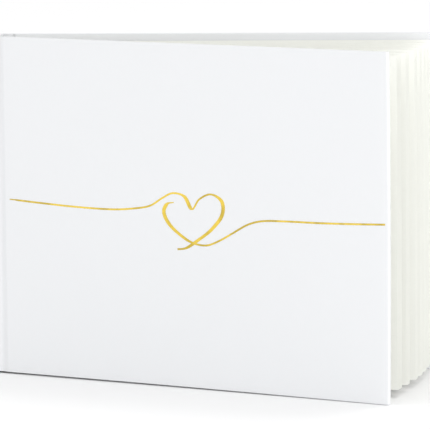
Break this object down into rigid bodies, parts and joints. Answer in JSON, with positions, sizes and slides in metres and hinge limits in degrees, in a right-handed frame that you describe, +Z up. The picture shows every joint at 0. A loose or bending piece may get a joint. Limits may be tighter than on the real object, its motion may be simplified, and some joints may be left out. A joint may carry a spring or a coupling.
{
  "type": "wedding guest book",
  "caption": "Landscape hardcover guest book with white covers and a gold foil line heart, sewn cream leaves fanned between covers that swing on paper joints.",
  "frame": {"origin": "on the table, under the middle of the open book's outline", "axes": "+X along the back cover from spine to fore-edge, +Y out of the back cover, +Z up from the tail edges that it stands on to the head"},
  "size_m": [0.2438, 0.1138, 0.185],
  "materials": {
    "cover_paper": "smooth matt white",
    "grey_board": "raw binder's board",
    "leaf_paper": "uncoated cream",
    "endpaper": "uncoated cream",
    "mull_cloth": "open weave",
    "kraft_lining": "kraft",
    "linen_thread": "twisted thread",
    "band_cloth": "woven",
    "gold_foil": "hot-stamped foil"
  },
  "bodies": {
    "spine": {"spine_board": "grey_board", "spine_wrap": "cover_paper", "spine_lining": "kraft_lining", "mull": "mull_cloth", "sewing_thread_1": "linen_thread", "sewing_thread_2": "linen_thread", "sewing_thread_3": "linen_thread", "sewing_thread_4": "linen_thread", "head_band": "band_cloth", "tail_band": "band_cloth", "section_fold_1": "leaf_paper", "section_fold_2": "leaf_paper", "section_fold_3": "leaf_paper", "section_fold_4": "leaf_paper", "section_fold_5": "leaf_paper", "section_fold_6": "leaf_paper", "front_endpaper_fold": "endpaper", "back_endpaper_fold": "endpaper"},
    "front_cover": {"front_board": "grey_board", "front_cover_wrap": "cover_paper", "front_mull_flap": "mull_cloth", "front_pastedown": "endpaper", "foil_heart_line": "gold_foil"},
    "back_cover": {"back_board": "grey_board", "back_cover_wrap": "cover_paper", "back_mull_flap": "mull_cloth", "back_pastedown": "endpaper"},
    "front_flyleaf": {"front_flyleaf": "endpaper"},
    "leaf_01": {"leaf_01": "leaf_paper"},
    "leaf_02": {"leaf_02": "leaf_paper"},
    "leaf_03": {"leaf_03": "leaf_paper"},
    "leaf_04": {"leaf_04": "leaf_paper"},
    "leaf_05": {"leaf_05": "leaf_paper"},
    "leaf_06": {"leaf_06": "leaf_paper"},
    "leaf_07": {"leaf_07": "leaf_paper"},
    "leaf_08": {"leaf_08": "leaf_paper"},
    "leaf_09": {"leaf_09": "leaf_paper"},
    "leaf_10": {"leaf_10": "leaf_paper"},
    "leaf_11": {"leaf_11": "leaf_paper"},
    "leaf_12": {"leaf_12": "leaf_paper"},
    "leaf_13": {"leaf_13": "leaf_paper"},
    "leaf_14": {"leaf_14": "leaf_paper"},
    "leaf_15": {"leaf_15": "leaf_paper"},
    "leaf_16": {"leaf_16": "leaf_paper"},
    "leaf_17": {"leaf_17": "leaf_paper"},
    "leaf_18": {"leaf_18": "leaf_paper"},
    "leaf_19": {"leaf_19": "leaf_paper"},
    "leaf_20": {"leaf_20": "leaf_paper"},
    "leaf_21": {"leaf_21": "leaf_paper"},
    "leaf_22": {"leaf_22": "leaf_paper"},
    "leaf_23": {"leaf_23": "leaf_paper"},
    "leaf_24": {"leaf_24": "leaf_paper"},
    "back_flyleaf": {"back_flyleaf": "endpaper"}
  },
  "joints": [
    {"name": "front_cover_hinge", "type": "hinge", "parent": "spine", "child": "front_cover", "pos_m": [-0.11903, 0.03737, 0.0925], "axis": [0, 0, -1], "range_deg": [-11.7, 78.3]},
    {"name": "back_cover_hinge", "type": "hinge", "parent": "spine", "child": "back_cover", "pos_m": [-0.11513, 0.05618, 0.0925], "axis": [0, 0, 1], "range_deg": [-11.72, 78.32]},
    {"name": "front_flyleaf_turn", "type": "hinge", "parent": "spine", "child": "front_flyleaf", "pos_m": [-0.11383, 0.04074, 0.0925], "axis": [0, 0, -1], "range_deg": [-7.57, 50.55]},
    {"name": "leaf_01_turn", "type": "hinge", "parent": "spine", "child": "leaf_01", "pos_m": [-0.11375, 0.04115, 0.0925], "axis": [0, 0, -1], "range_deg": [-7.27, 48.54]},
    {"name": "leaf_02_turn", "type": "hinge", "parent": "spine", "child": "leaf_02", "pos_m": [-0.11366, 0.04156, 0.0925], "axis": [0, 0, -1], "range_deg": [-6.97, 46.53]},
    {"name": "leaf_03_turn", "type": "hinge", "parent": "spine", "child": "leaf_03", "pos_m": [-0.11358, 0.04197, 0.0925], "axis": [0, 0, -1], "range_deg": [-6.67, 44.52]},
    {"name": "leaf_04_turn", "type": "hinge", "parent": "spine", "child": "leaf_04", "pos_m": [-0.11349, 0.04238, 0.0925], "axis": [0, 0, -1], "range_deg": [-6.37, 42.52]},
    {"name": "leaf_05_turn", "type": "hinge", "parent": "spine", "child": "leaf_05", "pos_m": [-0.11341, 0.04279, 0.0925], "axis": [0, 0, -1], "range_deg": [-4.27, 28.46]},
    {"name": "leaf_06_turn", "type": "hinge", "parent": "spine", "child": "leaf_06", "pos_m": [-0.11332, 0.04321, 0.0925], "axis": [0, 0, -1], "range_deg": [-3.97, 26.45]},
    {"name": "leaf_07_turn", "type": "hinge", "parent": "spine", "child": "leaf_07", "pos_m": [-0.11324, 0.04362, 0.0925], "axis": [0, 0, -1], "range_deg": [-3.67, 24.45]},
    {"name": "leaf_08_turn", "type": "hinge", "parent": "spine", "child": "leaf_08", "pos_m": [-0.11315, 0.04403, 0.0925], "axis": [0, 0, -1], "range_deg": [-3.37, 22.44]},
    {"name": "leaf_09_turn", "type": "hinge", "parent": "spine", "child": "leaf_09", "pos_m": [-0.11307, 0.04444, 0.0925], "axis": [0, 0, -1], "range_deg": [-0.47, 3.03]},
    {"name": "leaf_10_turn", "type": "hinge", "parent": "spine", "child": "leaf_10", "pos_m": [-0.11298, 0.04485, 0.0925], "axis": [0, 0, -1], "range_deg": [-0.17, 1.02]},
    {"name": "leaf_11_turn", "type": "hinge", "parent": "spine", "child": "leaf_11", "pos_m": [-0.1129, 0.04526, 0.0925], "axis": [0, 0, 1], "range_deg": [-0.17, 1.02]},
    {"name": "leaf_12_turn", "type": "hinge", "parent": "spine", "child": "leaf_12", "pos_m": [-0.11281, 0.04567, 0.0925], "axis": [0, 0, 1], "range_deg": [-0.47, 3.03]},
    {"name": "leaf_13_turn", "type": "hinge", "parent": "spine", "child": "leaf_13", "pos_m": [-0.11273, 0.04609, 0.0925], "axis": [0, 0, 1], "range_deg": [-2.37, 15.75]},
    {"name": "leaf_14_turn", "type": "hinge", "parent": "spine", "child": "leaf_14", "pos_m": [-0.11264, 0.0465, 0.0925], "axis": [0, 0, 1], "range_deg": [-2.67, 17.75]},
    {"name": "leaf_15_turn", "type": "hinge", "parent": "spine", "child": "leaf_15", "pos_m": [-0.11256, 0.04691, 0.0925], "axis": [0, 0, 1], "range_deg": [-2.97, 19.76]},
    {"name": "leaf_16_turn", "type": "hinge", "parent": "spine", "child": "leaf_16", "pos_m": [-0.11247, 0.04732, 0.0925], "axis": [0, 0, 1], "range_deg": [-3.27, 21.77]},
    {"name": "leaf_17_turn", "type": "hinge", "parent": "spine", "child": "leaf_17", "pos_m": [-0.11239, 0.04773, 0.0925], "axis": [0, 0, 1], "range_deg": [-5.27, 35.16]},
    {"name": "leaf_18_turn", "type": "hinge", "parent": "spine", "child": "leaf_18", "pos_m": [-0.1123, 0.04814, 0.0925], "axis": [0, 0, 1], "range_deg": [-5.57, 37.16]},
    {"name": "leaf_19_turn", "type": "hinge", "parent": "spine", "child": "leaf_19", "pos_m": [-0.11222, 0.04855, 0.0925], "axis": [0, 0, 1], "range_deg": [-5.87, 39.17]},
    {"name": "leaf_20_turn", "type": "hinge", "parent": "spine", "child": "leaf_20", "pos_m": [-0.11213, 0.04896, 0.0925], "axis": [0, 0, 1], "range_deg": [-6.17, 41.18]},
    {"name": "leaf_21_turn", "type": "hinge", "parent": "spine", "child": "leaf_21", "pos_m": [-0.11205, 0.04938, 0.0925], "axis": [0, 0, 1], "range_deg": [-8.27, 55.23]},
    {"name": "leaf_22_turn", "type": "hinge", "parent": "spine", "child": "leaf_22", "pos_m": [-0.11196, 0.04979, 0.0925], "axis": [0, 0, 1], "range_deg": [-8.57, 57.24]},
    {"name": "leaf_23_turn", "type": "hinge", "parent": "spine", "child": "leaf_23", "pos_m": [-0.11188, 0.0502, 0.0925], "axis": [0, 0, 1], "range_deg": [-8.87, 59.25]},
    {"name": "leaf_24_turn", "type": "hinge", "parent": "spine", "child": "leaf_24", "pos_m": [-0.11179, 0.05061, 0.0925], "axis": [0, 0, 1], "range_deg": [-9.17, 61.26]},
    {"name": "back_flyleaf_turn", "type": "hinge", "parent": "spine", "child": "back_flyleaf", "pos_m": [-0.1117, 0.05102, 0.0925], "axis": [0, 0, 1], "range_deg": [-10.52, 70.29]}
  ],
  "couplings": [
    {"joint": "back_cover_hinge", "follows": "front_cover_hinge", "ratio": 1},
    {"joint": "front_flyleaf_turn", "follows": "front_cover_hinge", "ratio": 0.6453},
    {"joint": "leaf_01_turn", "follows": "front_cover_hinge", "ratio": 0.61966},
    {"joint": "leaf_02_turn", "follows": "front_cover_hinge", "ratio": 0.59402},
    {"joint": "leaf_03_turn", "follows": "front_cover_hinge", "ratio": 0.56838},
    {"joint": "leaf_04_turn", "follows": "front_cover_hinge", "ratio": 0.54273},
    {"joint": "leaf_05_turn", "follows": "front_cover_hinge", "ratio": 0.36325},
    {"joint": "leaf_06_turn", "follows": "front_cover_hinge", "ratio": 0.33761},
    {"joint": "leaf_07_turn", "follows": "front_cover_hinge", "ratio": 0.31197},
    {"joint": "leaf_08_turn", "follows": "front_cover_hinge", "ratio": 0.28632},
    {"joint": "leaf_09_turn", "follows": "front_cover_hinge", "ratio": 0.038462},
    {"joint": "leaf_10_turn", "follows": "front_cover_hinge", "ratio": 0.012821},
    {"joint": "leaf_11_turn", "follows": "front_cover_hinge", "ratio": 0.012821},
    {"joint": "leaf_12_turn", "follows": "front_cover_hinge", "ratio": 0.038462},
    {"joint": "leaf_13_turn", "follows": "front_cover_hinge", "ratio": 0.20086},
    {"joint": "leaf_14_turn", "follows": "front_cover_hinge", "ratio": 0.2265},
    {"joint": "leaf_15_turn", "follows": "front_cover_hinge", "ratio": 0.25214},
    {"joint": "leaf_16_turn", "follows": "front_cover_hinge", "ratio": 0.27778},
    {"joint": "leaf_17_turn", "follows": "front_cover_hinge", "ratio": 0.44872},
    {"joint": "leaf_18_turn", "follows": "front_cover_hinge", "ratio": 0.47436},
    {"joint": "leaf_19_turn", "follows": "front_cover_hinge", "ratio": 0.5},
    {"joint": "leaf_20_turn", "follows": "front_cover_hinge", "ratio": 0.52564},
    {"joint": "leaf_21_turn", "follows": "front_cover_hinge", "ratio": 0.70513},
    {"joint": "leaf_22_turn", "follows": "front_cover_hinge", "ratio": 0.73077},
    {"joint": "leaf_23_turn", "follows": "front_cover_hinge", "ratio": 0.75641},
    {"joint": "leaf_24_turn", "follows": "front_cover_hinge", "ratio": 0.78205},
    {"joint": "back_flyleaf_turn", "follows": "front_cover_hinge", "ratio": 0.89744}
  ]
}
